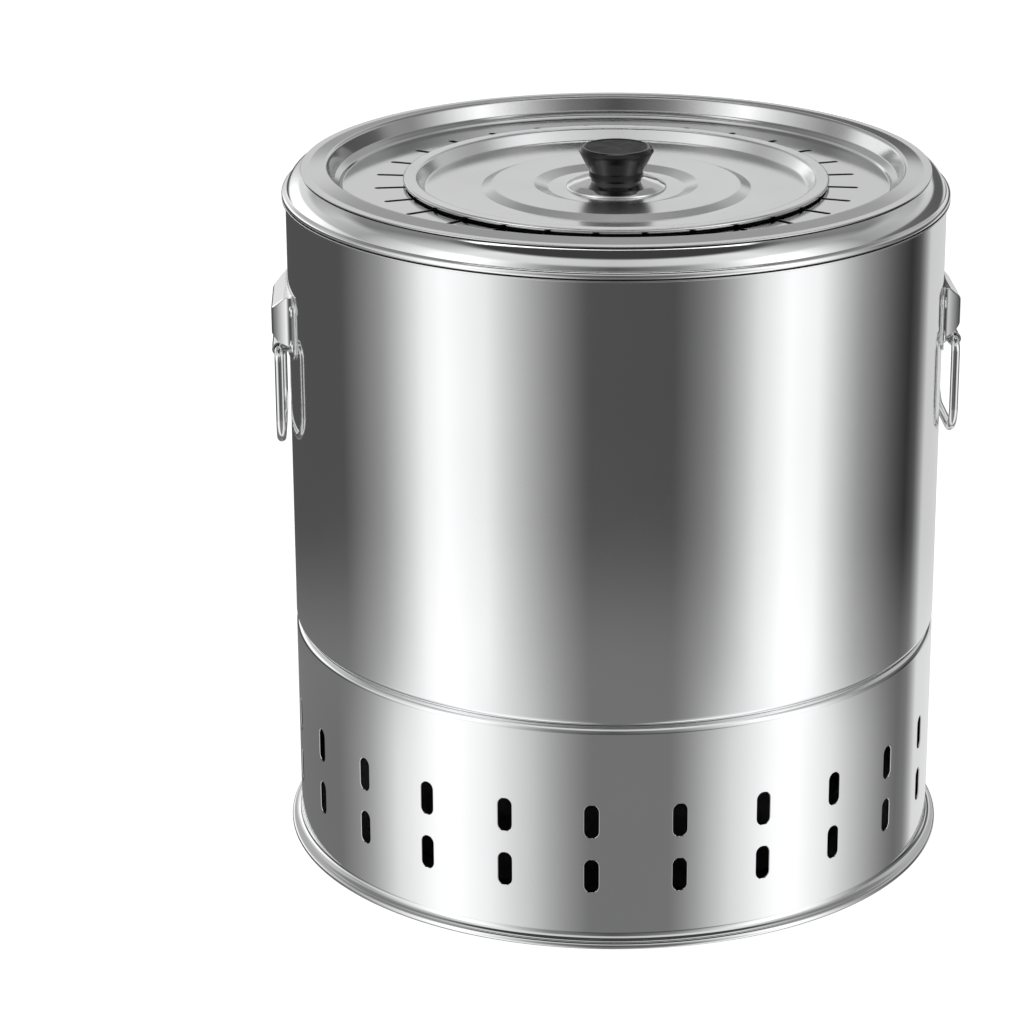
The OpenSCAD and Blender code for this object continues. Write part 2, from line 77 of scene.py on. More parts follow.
def stations(corners, side=1, sheet=SHEET):
    """Points (length, place, normal) along a path of (r, z, bend) corners.

    The sheet lies on the path's left for side 1 and on its right for side -1, and the normals point away from
    it. A corner with no bend is part of a smooth curve.
    """
    points = [Vector(c[:2]) for c in corners]
    steps = [(b - a).normalized() for a, b in zip(points, points[1:])]
    found = [(points[0], -side * left_of(steps[0]))]
    for i in range(1, len(points) - 1):
        u, v = steps[i - 1], steps[i]
        turn = math.atan2(u.x * v.y - u.y * v.x, u.dot(v))
        bend = corners[i][2] if len(corners[i]) > 2 else None
        if bend is None or abs(turn) < STRAIGHT:
            found.append((points[i], -side * left_of((u + v).normalized())))
            continue
        way = 1 if turn > 0 else -1
        radius = bend + (sheet if way == side else 0)
        start = points[i] - u * radius * math.tan(abs(turn) / 2)
        centre = start + left_of(u) * radius * way
        count = max(3, math.ceil(abs(turn) / BEND_STEP))
        for k in range(count + 1):
            d = u.copy()
            d.rotate(Matrix.Rotation(turn * k / count, 2))
            found.append((centre - left_of(d) * radius * way, -side * left_of(d)))
    found.append((points[-1], -side * left_of(steps[-1])))
    out = []
    length = 0.0
    for i, (place, normal) in enumerate(found):
        if i:
            length += (place - found[i - 1][0]).length
        out.append((length, place, normal))
    return out


def at(path, length):
    """Place and normal at a length along the stations of a path."""
    for (l0, p0, n0), (l1, p1, n1) in zip(path, path[1:]):
        if length <= l1 and l1 > l0:
            share = max(0.0, (length - l0) / (l1 - l0))
            return p0.lerp(p1, share), n0.lerp(n1, share).normalized()
    return path[-1][1], path[-1][2]


class Form:
    """Vertices with normals, and faces, that become one mesh."""

    def __init__(self):
        self.seen = {}
        self.points = []
        self.normals = []
        self.faces = []
        self.kinds = []

    def vertex(self, point, normal):
        key = tuple(round(c, MERGE_DECIMALS) for c in point)
        if key not in self.seen:
            self.seen[key] = len(self.points)
            self.points.append(Vector(point))
            self.normals.append(Vector(normal))
        return self.seen[key]

    def face(self, *corners, kind=0, facing=None):
        """Adds a face that looks the way of facing, or else of its normals.

        Kind is the number of its material.
        """
        ring = list(dict.fromkeys(corners))
        if len(ring) < 3:
            return
        p = [self.points[i] for i in ring]
        across = (p[2] - p[0]).cross(p[-1] - p[1])
        if facing is None:
            facing = sum((self.normals[i] for i in ring), Vector((0, 0, 0)))
        self.faces.append(ring[::-1] if across.dot(facing) < 0 else ring)
        self.kinds.append(kind)

    def object(self, name):
        mesh = bpy.data.meshes.new(name)
        mesh.from_pydata([p * MM for p in self.points], [], self.faces)
        mesh.polygons.foreach_set("material_index", self.kinds)
        mesh.shade_smooth()
        mesh.normals_split_custom_set_from_vertices(self.normals)
        obj = bpy.data.objects.new(name, mesh)
        bpy.context.scene.collection.objects.link(obj)
        return obj


def around(place, normal, angle):
    """A point of the r-z plane and its normal, turned about the axis."""
    c, s = math.cos(angle), math.sin(angle)
    return (place.x * c, place.x * s, place.y), (normal.x * c, normal.x * s, normal.y)


def revolve(form, outline, count, place=Matrix.Identity(4), closed=True, inside=range(0)):
    """Turns an outline of (place, normal) about Z into a form.

    Inside holds the numbers of the points between which a face has the second material.
    """
    turn = place.to_3x3()
    rings = []
    for p, n in outline:
        ring = []
        for k in range(count if p.x > ON_AXIS else 1):
            point, normal = around(p, n, 2 * math.pi * k / count)
            ring.append(form.vertex(place @ Vector(point), turn @ Vector(normal)))
        rings.append(ring)
    for i in range(len(rings) if closed else len(rings) - 1):
        j = (i + 1) % len(rings)
        a, b = rings[i], rings[j]
        kind = int(i in inside and j in inside)
        for k in range(count):
            q = (k + 1) % count
            form.face(a[k % len(a)], a[q % len(a)], b[q % len(b)], b[k % len(b)], kind=kind)


def ends_of(path, sheet):
    """The two rounded edges of a sheet: stations set back from each end, and the points of each end face."""
    first, last = path[0][0], path[-1][0]
    d0 = (path[1][1] - path[0][1]).normalized()
    d1 = (path[-1][1] - path[-2][1]).normalized()
    out = []
    for length, d, way in ((first, -d0, 1), (last, d1, -1)):
        p, n = at(path, length)
        if p.x < ON_AXIS:
            out.append((length, [(p, n), (p - n * sheet, -n)]))
        else:
            out.append((length + way * EDGE, [(p - n * EDGE, d), (p - n * (sheet - EDGE), d)]))
    return out


def turned(name, path, sheet=SHEET, count=192, lined=False):
    """Round piece of bent sheet. The back of a lined one has a material of its own."""
    (start, head), (stop, tail) = ends_of(path, sheet)
    lengths = [start] + [s[0] for s in path if start < s[0] < stop] + [stop]
    face = [at(path, length) for length in lengths]
    back = [(p - n * sheet, -n) for p, n in face]
    form = Form()
    first = len(face) + len(tail)
    inside = range(first, first + len(back)) if lined else range(0)
    revolve(form, face + tail + back[::-1] + head[::-1], count, inside=inside)
    return form.object(name)


def half_width(slots, length, grow=0.0):
    """Half the width of a slot with round ends at a length along the path, with the slot grown by an edge."""
    for first, last, half in slots:
        into = max(first + half - length, length - last + half, 0.0)
        if half + grow - into > LEAST_HALF:
            return math.sqrt((half + grow) ** 2 - into ** 2)
    return 0.0


def inward(slots, length, grow):
    """Normal of a slot's side at a length, as (across, along) the path."""
    for first, last, half in slots:
        into = max(first + half - length, length - last + half, 0.0)
        if into < half + grow:
            along = min(1.0, into / half)
            way = 1 if length < (first + last) / 2 else -1
            return -math.sqrt(1 - along ** 2), along * way
    return -1.0, 0.0


def slotted(name, path, sectors, phase, slots, sheet=SHEET, columns=4, edge=EDGE, shade_radius=0.0):
    """Round piece of bent sheet with one column of slots in each sector.

    Slots are (first, last, half width), as lengths along the path. Phase is the angle of the first sector's
    middle, and edge the round of the slots' rims. The back, the slots' sides and what is within the shade
    radius take the second material: soot, and painted shade in the slots and under the lid.
    """
    (start, head), (stop, tail) = ends_of(path, sheet)
    lengths = {start, stop}
    lengths.update(s[0] for s in path)
    for first, last, half in slots:
        lengths.update((first - edge, first, last, last + edge))
        for k in range(1, ROUND_STEPS + 1):
            reach = half * (1 - math.cos(math.radians(90 * k / ROUND_STEPS)))
            lengths.update((first + reach, last - reach))
    lengths = sorted(l for l in lengths if start <= l <= stop)
    lengths = [a for a, b in zip(lengths, lengths[1:] + [stop + 1]) if b - a > LEAST_STEP]

    rows = []
    for length in lengths:
        p, n = at(path, length)
        rows.append((length, p, n, p - n * sheet, -n))
    for end, length, index in ((head, path[0][0], 0), (tail, path[-1][0], len(rows) + 1)):
        rows.insert(index, (length, *end[0], *end[1]))

    form = Form()
    half_turn = math.pi / sectors
    for sector in range(sectors):
        middle = phase + 2 * half_turn * sector
        for way in (1, -1):
            before = None
            for number, (length, p, n, q, m) in enumerate(rows):
                wide = half_width(slots, length, edge)
                narrow = half_width(slots, length)
                across, along = inward(slots, length, edge)
                step = Vector((-n.y, n.x))
                ring = []
                for place, normal, order in ((p, n, 1), (q, m, -1)):
                    inner = math.asin(wide / place.x)
                    angles = [half_turn + (inner - half_turn) * c / columns for c in range(columns + 1)]
                    side = [around(place, normal, middle + way * a) for a in angles]
                    if wide:
                        depth = edge if 0 < number < len(rows) - 1 else 0
                        wall = place - normal * depth
                        angle = middle + way * math.asin(narrow / wall.x)
                        point, _ = around(wall, normal, angle)
                        _, upward = around(wall, step * along, angle)
                        aside = Vector((-math.sin(angle), math.cos(angle), 0)) * across * way
                        side.append((point, aside + Vector(upward)))
                    else:
                        side.append(side[-1])
                    ring += [form.vertex(*v) for v in side[::order]]
                if before:
                    old, old_wide, old_narrow, old_r = before
                    # Faces within the shade radius take the second material: painted shade under the lid's
                    # edge
                    in_lid_shade = max(p.x, old_r) < shade_radius
                    for j in range(len(ring) - 1):
                        if j in (columns, columns + 2) and not (wide or old_wide):
                            continue
                        if j == columns + 1 and not (narrow or old_narrow):
                            continue
                        form.face(old[j], old[j + 1], ring[j + 1], ring[j], kind=int(in_lid_shade or j > columns))
                if number in (0, len(rows) - 1):
                    for j in range(columns + 1):
                        form.face(ring[j], ring[j + 1], ring[-2 - j], ring[-1 - j])
                before = ring, wide, narrow, p.x
    return form.object(name)


def length_at(path, test):
    """Length along a path where a test of the place first holds."""
    total = path[-1][0]
    lengths = (total * k / SCAN_STEPS for k in range(SCAN_STEPS + 1))
    return next(length for length in lengths if test(at(path, length)[0]))


# Materials

def shader(name, metallic):
    material = bpy.data.materials.new(name)
    material.use_nodes = True
    tree = material.node_tree
    bsdf = tree.nodes["Principled BSDF"]
    bsdf.inputs["Metallic"].default_value = metallic
    return material, tree, bsdf


def node(tree, kind, values=None, **settings):
    """A new node with its settings, and its inputs set or linked by name or number."""
    made = tree.nodes.new(kind)
    for key, value in settings.items():
        setattr(made, key, value)
    for key, value in (values or {}).items():
        if isinstance(value, bpy.types.NodeSocket):
            tree.links.new(value, made.inputs[key])
        else:
            made.inputs[key].default_value = value
    return made


def ramp(tree, source, stops):
    made = node(tree, "ShaderNodeValToRGB", {"Fac": source})
    elements = made.color_ramp.elements
    while len(elements) < len(stops):
        elements.new(0.5)
    for element, (position, colour) in zip(elements, stops):
        element.position = position
        element.color = (*colour, 1) if isinstance(colour, tuple) else (colour, colour, colour, 1)
    return made.outputs["Color"]


def spread(tree, source, low, high, least, most, kind="LINEAR"):
    """Maps a source between low and high onto the range from least to most."""
    values = {"Value": source, 1: low, 2: high, 3: least, 4: most}
    return node(tree, "ShaderNodeMapRange", values, interpolation_type=kind).outputs[0]


def noise(tree, spot, scale, detail, **more):
    values = {"Vector": spot, "Scale": scale, "Detail": detail, **more}
    return node(tree, "ShaderNodeTexNoise", values).outputs["Fac"]


def mixture(tree, a, b, share):
    """Mix of two values, which is all b at a share of 1."""
    return node(tree, "ShaderNodeMix", {0: share, 2: a, 3: b}).outputs[0]


def raised(tree, bsdf, height, strength, distance):
    """Gives a shader fine relief."""
    values = {"Strength": strength, "Distance": distance, "Height": height}
    tree.links.new(node(tree, "ShaderNodeBump", values).outputs["Normal"], bsdf.inputs["Normal"])


NOISE_LOW = 0.3
NOISE_HIGH = 0.7


def steel(name, dark, light, rough, marks, bump=0.02):
    """Steel sheet: faint hand smudges over a fine grain."""
    material, tree, bsdf = shader(name, 1.0)
    spot = node(tree, "ShaderNodeTexCoord").outputs["Object"]
    grain = noise(tree, spot, scale=700.0, detail=4.0)
    smudge = noise(tree, spot, scale=11.0, detail=5.0, Roughness=0.6)
    mixed = mixture(tree, grain, smudge, share=0.7)
    tree.links.new(spread(tree, mixed, NOISE_LOW, NOISE_HIGH, *rough), bsdf.inputs["Roughness"])
    tree.links.new(ramp(tree, mixed, [(0.32, dark), (0.68, light)]), bsdf.inputs["Base Color"])
    raised(tree, bsdf, grain, strength=bump, distance=marks)
    return material


def burnt_steel(name, stops, rough, metallic=1.0):
    """Steel near the fire: uneven heat colours and soot, given as a ramp over a cloudy noise.

    A near-black one also paints shade into the gaps.
    """
    material, tree, bsdf = shader(name, metallic)
    spot = node(tree, "ShaderNodeTexCoord").outputs["Object"]
    broad = noise(tree, spot, scale=14.0, detail=6.0, Distortion=0.6)
    fine = noise(tree, spot, scale=420.0, detail=3.0)
    tree.links.new(ramp(tree, broad, stops), bsdf.inputs["Base Color"])
    mixed = mixture(tree, broad, fine, share=0.4)
    low, high = rough
    tree.links.new(spread(tree, mixed, NOISE_LOW, NOISE_HIGH, high, low), bsdf.inputs["Roughness"])
    raised(tree, bsdf, fine, strength=0.12, distance=0.0002)
    return material


def moulding(name, rough, ior):
    """Black thermoset, faintly mottled, with fine handling marks."""
    material, tree, bsdf = shader(name, 0.0)
    bsdf.inputs["IOR"].default_value = ior
    spot = node(tree, "ShaderNodeTexCoord").outputs["Object"]
    mottle = noise(tree, spot, scale=160.0, detail=5.0)
    fine = noise(tree, spot, scale=900.0, detail=2.0)
    stops = [(NOISE_LOW, (0.004, 0.004, 0.004)), (NOISE_HIGH, (0.009, 0.0088, 0.0085))]
    tree.links.new(ramp(tree, mottle, stops), bsdf.inputs["Base Color"])
    tree.links.new(spread(tree, mottle, NOISE_LOW, NOISE_HIGH, *rough), bsdf.inputs["Roughness"])
    raised(tree, bsdf, fine, strength=0.03, distance=0.0001)
    return material


POLISHED = steel("polished_steel", (0.84, 0.843, 0.85), (0.87, 0.873, 0.88), (0.05, 0.09), 0.00002, 0.005)
SATIN = steel("satin_steel", (0.83, 0.833, 0.84), (0.87, 0.873, 0.88), (0.17, 0.25), 0.00003)
RING_STEEL = steel("ring_steel", (0.60, 0.602, 0.607), (0.68, 0.682, 0.687), (0.09, 0.15), 0.00003)
WIRE = steel("polished_wire", (0.82, 0.823, 0.83), (0.87, 0.872, 0.877), (0.06, 0.12), 0.00004, 0.01)
PLAIN = steel("plain_steel", (0.56, 0.565, 0.57), (0.66, 0.663, 0.667), (0.26, 0.40), 0.00008)
CHROME = steel("chrome", (0.88, 0.883, 0.89), (0.93, 0.932, 0.937), (0.03, 0.07), 0.00002, 0.005)
BRASS = steel("brass", (0.68, 0.52, 0.24), (0.78, 0.62, 0.32), (0.22, 0.34), 0.00006)
BURNT = burnt_steel(
    "fire_steel", [(0.3, (0.10, 0.099, 0.10)), (0.45, (0.20, 0.197, 0.196)), (0.55, (0.23, 0.222, 0.212)),
                   (0.7, (0.14, 0.142, 0.15))], (0.36, 0.62)
)
# Near-black sheet: soot near the fire, and painted shade in the gap under the lid and in slots and vents
SOOT_AND_SHADE = burnt_steel(
    "soot_and_shade_steel", [(0.3, (0.014, 0.014, 0.014)), (0.7, (0.034, 0.0335, 0.033))], (0.5, 0.75), metallic=0.0
)
BAKELITE = moulding("bakelite", (0.08, 0.16), 1.42)
DULL_TOP = moulding("bakelite_top", (0.36, 0.48), 1.28)


def dress(obj, material, body, slot, *nodes, inside=None):
    """Puts a piece on a body in place of CAD nodes, with its material and the one of its lined side."""
    obj.data.materials.append(material)
    if inside:
        obj.data.materials.append(inside)
    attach(obj, body)
    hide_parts(*nodes)


# Base

SEAM_BEND = 3.5
FOOT_CURVE = 4.6
FOOT_BEND = 1.05
VENT_W = 8.5
VENT_LEN = 21.0
VENT_ROWS = (80.0, 45.0)
VENT_COLUMNS = 24
VENT_RIM = 0.45
BELOW_BEND = 10.0
base_path = stations(
    [(SEAT_R, BASE_H), (BUCKET_R, BASE_H, SEAM_BEND), (BUCKET_R, FOOT_H, FOOT_CURVE),
     (FOOT_R, FOOT_H, FOOT_BEND), (FOOT_R, 0.0, FOOT_BEND), (BUCKET_R - SHEET, 0.0)], side=-1
)
wall_top = length_at(base_path, lambda p: p.y < BASE_H - BELOW_BEND)
wall_top_z = at(base_path, wall_top)[0].y
vents = []
for middle in VENT_ROWS:
    down = wall_top + wall_top_z - middle
    vents.append((down - VENT_LEN / 2, down + VENT_LEN / 2, VENT_W / 2))
vent_phase = math.radians(180 / VENT_COLUMNS)
shell = slotted("base_shell_fine", base_path, VENT_COLUMNS, vent_phase, vents, edge=VENT_RIM)
# The back and the vents' sides take the near-black sheet: soot inside, and painted shade in the vents
dress(shell, POLISHED, "base", "polished_steel", "base_shell", inside=SOOT_AND_SHADE)

FLOOR_Z = 9.0
FLOOR_RIM = 10.0
FLOOR_BEND = 2.0
floor_edge = BUCKET_R - SHEET - WELD_GAP
floor_path = stations(
    [(floor_edge, FLOOR_Z + FLOOR_RIM), (floor_edge, FLOOR_Z, FLOOR_BEND), (0.0, FLOOR_Z)], side=-1
)
# The floor takes the dark fire steel in place of plain steel: painted shade for the inside seen through the
# vents
dress(turned("base_floor_fine", floor_path), BURNT, "base", "plain_steel", "base_floor")

SEAT_LOW = 132.0
SEAT_H = 22.0
SEAT_LEDGE = 14.0
SEAT_BEND = 1.2
seat_edge = SEAT_R - WELD_GAP
seat_path = stations(
    [(seat_edge, SEAT_LOW + SEAT_H), (seat_edge, SEAT_LOW, SEAT_BEND), (seat_edge - SEAT_LEDGE, SEAT_LOW)],
    side=-1
)
dress(turned("seat_ring_fine", seat_path), PLAIN, "base", "plain_steel", "seat_ring")

ASH_R = 151.0
ASH_Z = 10.0
ASH_H = 26.0
TRAY_BEND = 3.0
ash_path = stations([(ASH_R, ASH_Z + ASH_H), (ASH_R, ASH_Z, TRAY_BEND), (0.0, ASH_Z)], side=-1)
dress(turned("ash_pan_fine", ash_path), BURNT, "ash_pan", "fire_steel", "ash_pan")


# Fire

TRAY_IN = 101.0
TRAY_OUT = 171.9
TRAY_TOP = FIRE_Z + 30.0
tray_path = stations(
    [(TRAY_IN, TRAY_TOP), (TRAY_IN, FIRE_Z, TRAY_BEND), (TRAY_OUT, FIRE_Z, TRAY_BEND), (TRAY_OUT, TRAY_TOP)]
)
dress(turned("drip_tray_fine", tray_path), PLAIN, "drip_tray", "plain_steel", "drip_tray")

BASKET_R = 80.0
BASKET_TOP = FIRE_Z + 149.0
BASKET_LIP = 4.0
BASKET_BEND = 0.8
DRAUGHT_W = 9.0
DRAUGHT_LEN = 40.0
DRAUGHT_ROWS = (40.0, 102.0)
DRAUGHT_COLUMNS = 12
basket_path = stations(
    [(BASKET_R, FIRE_Z), (BASKET_R, BASKET_TOP, BASKET_BEND), (BASKET_R + BASKET_LIP, BASKET_TOP)]
)
draughts = [(middle - DRAUGHT_LEN / 2, middle + DRAUGHT_LEN / 2, DRAUGHT_W / 2) for middle in DRAUGHT_ROWS]
draught_phase = math.radians(180 / DRAUGHT_COLUMNS)
basket = slotted("basket_wall_fine", basket_path, DRAUGHT_COLUMNS, draught_phase, draughts)
dress(basket, BURNT, "basket", "fire_steel", "basket_wall", inside=SOOT_AND_SHADE)


# Barrel and mouth

BARREL_COUNT = 240
SEAT_PLAY = 0.6
LOCK_OUT = 2.2
LOCK_BEND = 0.6
barrel_path = stations(
    [(SEAT_R + SEAT_PLAY, BASE_H), (BUCKET_R, BASE_H, SEAM_BEND), (BUCKET_R, LOCK_Z, LOCK_BEND),
     (BUCKET_R + LOCK_OUT, LOCK_Z)]
)
barrel = turned("barrel_shell_fine", barrel_path, count=BARREL_COUNT, lined=True)
dress(barrel, POLISHED, "barrel", "polished_steel", "barrel_shell", inside=BURNT)

BEAD_R = 202.2
BEAD_TOP = COLLAR_Z + 4.5
BEAD_BEND = 1.25
SHOULDER_OUT = 199.5
SHOULDER_IN = 190.0
SHOULDER_BULGE = 0.45
SHOULDER_ROOT = 0.4
SHOULDER_STEPS = 12
MOUTH_R = 175.8
MOUTH_DROP = 8.0
MOUTH_BEND = 1.2
shoulder_low = Vector((SHOULDER_OUT, BEAD_TOP))
shoulder_high = Vector((SHOULDER_IN, MOUTH_Z))
shoulder_corner = Vector((shoulder_low.x, shoulder_high.y))
bulge = ((shoulder_low + shoulder_high) / 2).lerp(shoulder_corner, SHOULDER_BULGE)
shoulder = []
for k in range(1, SHOULDER_STEPS + 1):
    t = k / SHOULDER_STEPS
    shoulder.append(shoulder_low * (1 - t) ** 2 + bulge * 2 * t * (1 - t) + shoulder_high * t ** 2)
collar_path = stations(
    [(BUCKET_R - SHEET, COLLAR_Z), (BEAD_R, COLLAR_Z, BEAD_BEND), (BEAD_R, BEAD_TOP, BEAD_BEND),
     (*shoulder_low, SHOULDER_ROOT)]
    + [(*p,) for p in shoulder] + [(MOUTH_R, MOUTH_Z, MOUTH_BEND), (MOUTH_R, MOUTH_Z - MOUTH_DROP)]
)
collar = turned("mouth_collar_fine", collar_path, count=BARREL_COUNT)
dress(collar, POLISHED, "barrel", "polished_steel", "mouth_collar")


# Skewer ring and lid

RIM_OUT = 190.7
RIM_IN = 185.7
RIM_Z = 425.5
RIM_BEND = 8.0
LIP_R = 174.2
LIP_Z = 427.2
LIP_BEND = 1.4
WELL_Z = 414.4
WALL_R = 170.7
WALL_FOOT = 3.4
WALL_BEND = 1.2
LEDGE_R = 166.7
LEDGE_H = 1.7
LEDGE_BEND = 1.0
WELL_R = 165.6
WELL_BEND = 0.8
CURB_R = 122.8
CURB_H = 3.1
CURB_BEND = 1.0
LID_R = 129.0
LID_Z = 418.5
LID_SHADE_R = LID_R - 1.0
UNDER_R = LID_R - 1.4
ring_path = stations(
    [(RIM_OUT, RIM_Z), (RIM_IN, RIM_Z, RIM_BEND), (LIP_R, LIP_Z, LIP_BEND),
     (WALL_R, WELL_Z + WALL_FOOT, WALL_BEND), (LEDGE_R, WELL_Z + LEDGE_H, LEDGE_BEND),
     (WELL_R, WELL_Z, WELL_BEND), (UNDER_R, WELL_Z), (CURB_R, WELL_Z, CURB_BEND), (CURB_R, WELL_Z + CURB_H)]
)
SLOT_COUNT = 28
SLOT_W = 4.0
SLOT_TIP_R = 146.5
SLOT_RIM = 0.12
SLOT_PAST_END = 10.0
RING_TURN = 2.6
LEVEL = 0.01
slot_tip = length_at(ring_path, lambda p: p.x < SLOT_TIP_R and p.y < WELL_Z + LEVEL)
skewer_slot = [(slot_tip, ring_path[-1][0] + SLOT_PAST_END, SLOT_W / 2)]
ring_phase = math.radians(90 - RING_TURN + 180 / SLOT_COUNT)
# The ring's back and slots' sides, and its floor under the lid's edge, take the near-black sheet: painted
# shade
skewer_ring = slotted(
    "skewer_ring_fine", ring_path, SLOT_COUNT, ring_phase, skewer_slot, edge=SLOT_RIM, shade_radius=LID_SHADE_R
)
dress(skewer_ring, RING_STEEL, "ring", "polished_steel", "skewer_ring", inside=SOOT_AND_SHADE)

CURL_IN = 1.8
CURL_H = 2.9
CURL_BEND = 0.4
STEP_OUT = 120.6
STEP_OUT_BEND = 1.4
STEP_IN = 116.3
STEP_IN_BEND = 1.8
RISE_Z = PAN_Z + 2.5
RISE_FOOT = 81.8
RISE_OUT = 75.3
RISE_BEND = 2.0
RISE_IN = 50.0
DISH_R = 41.4
DISH_BEND = 3.0
SCREW_HOLE_R = 2.7
lid_path = stations(
    [(LID_R - CURL_IN, LID_Z - CURL_H), (LID_R, LID_Z - CURL_H, CURL_BEND), (LID_R, LID_Z, CURL_BEND),
     (STEP_OUT, LID_Z, STEP_OUT_BEND), (STEP_IN, PAN_Z, STEP_IN_BEND), (RISE_FOOT, PAN_Z, RISE_BEND),
     (RISE_OUT, RISE_Z, RISE_BEND), (RISE_IN, RISE_Z, DISH_BEND), (DISH_R, PAN_Z, DISH_BEND),
     (SCREW_HOLE_R, PAN_Z)]
)
# The lid's back takes the near-black sheet: soot, and painted shade in the gap under its edge
lid = turned("lid_pan_fine", lid_path, lined=True)
dress(lid, SATIN, "lid", "polished_steel", "lid_pan", inside=SOOT_AND_SHADE)


# Knob

KNOB_COUNT = 128
SKIRT_R = 30.6
SKIRT_TOP = 420.0
SKIRT_EDGE = PAN_Z + 1.0
SKIRT_BEND = 0.5
NECK_R = 15.6
NECK_H = 2.6
NECK_EDGE = 0.2
NECK_BEND = 1.6
FLARE_R = SKIRT_R - 4.6
FLARE_H = 2.3
FLARE_BEND = 5.0
skirt_path = stations(
    [(SCREW_HOLE_R, SKIRT_TOP), (NECK_R, SKIRT_TOP, NECK_EDGE), (NECK_R, SKIRT_TOP - NECK_H, NECK_BEND),
     (FLARE_R, SKIRT_EDGE + FLARE_H, FLARE_BEND), (SKIRT_R, SKIRT_EDGE, SKIRT_BEND), (SKIRT_R, PAN_Z)],
    side=-1
)
dress(turned("knob_skirt_fine", skirt_path, count=KNOB_COUNT), CHROME, "lid", "chrome", "knob_skirt")

GRIP_R = 22.9
GRIP_TOP = 436.0
INSERT_R = 4.6
INSERT_TOP = 431.1
CRISP = 0.1
HEM_IN = NECK_R + 0.1
HEM_OUT = NECK_R + 0.9
HEM_Z = SKIRT_TOP - 2.2
HEM_EDGE = 0.2
FLANK_Z = SKIRT_TOP + 1.5
FLANK_BEND = 2.5
BEVEL = 2.6
BEVEL_FOOT = 0.8
BEVEL_MIDDLE = 0.6
BEVEL_TOP = 0.4
CROWN_R = GRIP_R - BEVEL
CROWN_W = 0.9
HOLLOW_R = CROWN_R - 1.4
HOLLOW_Z = GRIP_TOP - 0.4
grip_path = stations(
    [(0.0, INSERT_TOP), (INSERT_R, INSERT_TOP, CRISP), (INSERT_R, SKIRT_TOP, CRISP),
     (HEM_IN, SKIRT_TOP, CRISP), (HEM_IN, HEM_Z, HEM_EDGE), (HEM_OUT, HEM_Z, HEM_EDGE),
     (HEM_OUT, FLANK_Z, FLANK_BEND), (GRIP_R, GRIP_TOP - BEVEL, BEVEL_FOOT),
     (GRIP_R - BEVEL / 2, GRIP_TOP - BEVEL / 4, BEVEL_MIDDLE), (CROWN_R, GRIP_TOP, BEVEL_TOP),
     (CROWN_R - CROWN_W, GRIP_TOP, BEVEL_TOP), (HOLLOW_R, HOLLOW_Z, BEVEL_TOP), (0.0, HOLLOW_Z)],
    sheet=0.0
)
hollow = range(len(grip_path) - 2, len(grip_path))
grip_form = Form()
revolve(grip_form, [(p, n) for _, p, n in grip_path], KNOB_COUNT, closed=False, inside=hollow)
dress(grip_form.object("knob_grip_fine"), BAKELITE, "lid", "bakelite", "knob_grip", inside=DULL_TOP)


# Handles

BAIL_HALF = 36.0
BAIL_DROP = 58.0
BAIL_BEND = 6.0
BAIL_LOW_BEND = 16.0
BAIL_BEND_STEPS = 12
BAIL_LOW_STEPS = 16
BAIL_COUNT = 24
TIP_ROUND = 0.6
HOOD_OUT = 209.8
HOOD_HALF = BAIL_HALF - WIRE_R - 2.0
HOOD_LOW = 324.35
HOOD_HIGH = 352.85
HOOD_BEVEL = 8.0
HOOD_TOE = 4.0
HOOD_CROWN = 0.76
HOOD_CROWN_REACH = 1.3
HOOD_BLEND = 1.2
WEB_BLEND = 0.4
WEB_TOP = HOOD_LOW + 1
PLATE_BLEND = 1.0
STEEP = 4
WIRE_IN = PIVOT_R - WIRE_R
PLATE_IN = BUCKET_R + WELD_GAP
BRACKET_T = 1.2
BRACKET_HALF = 45.87
BRACKET_LOW = 315.65
BRACKET_H = 40.2
BRACKET_CORNER = 9.0
BRACKET_COLUMNS = 132
BRACKET_ROWS = 56
FOLD_STEP = 0.25
FOLD_ROWS = 6
SLOPE_STEP = 0.05
BORE_R = WIRE_R + 0.4
KNUCKLE_R = BORE_R + BRACKET_T
KNUCKLE_HALF = BAIL_HALF - BAIL_BEND - 1.0
KNUCKLE_COUNT = 40
TIP_IN = KNUCKLE_HALF - 3 * WIRE_R
RIVET_TURN = 11.79
RIVET_ROWS = (324.75, 346.75)
RIVET_IN = 197.6
RIVET_OUT = 201.4
RIVET_R = 1.8
RIVET_HEAD_R = 3.6
RIVET_HEAD_BEND = 0.25
RIVET_DOME = ((3.45, 0.45), (2.9, 0.95), (2.1, 1.33), (1.1, 1.54), (0.0, 1.6))
RIVET_TAIL_R = 2.6
RIVET_TAIL_H = 0.8
RIVET_TAIL_BEND = 0.5
RIVET_COUNT = 28


def soft_least(values, blend_width):
    """The least of some values, rounded where two of them meet."""
    least = values[0]
    for v in values[1:]:
        near = max(blend_width - abs(least - v), 0.0) / blend_width
        least = min(least, v) - near * near * blend_width / 4
    return least


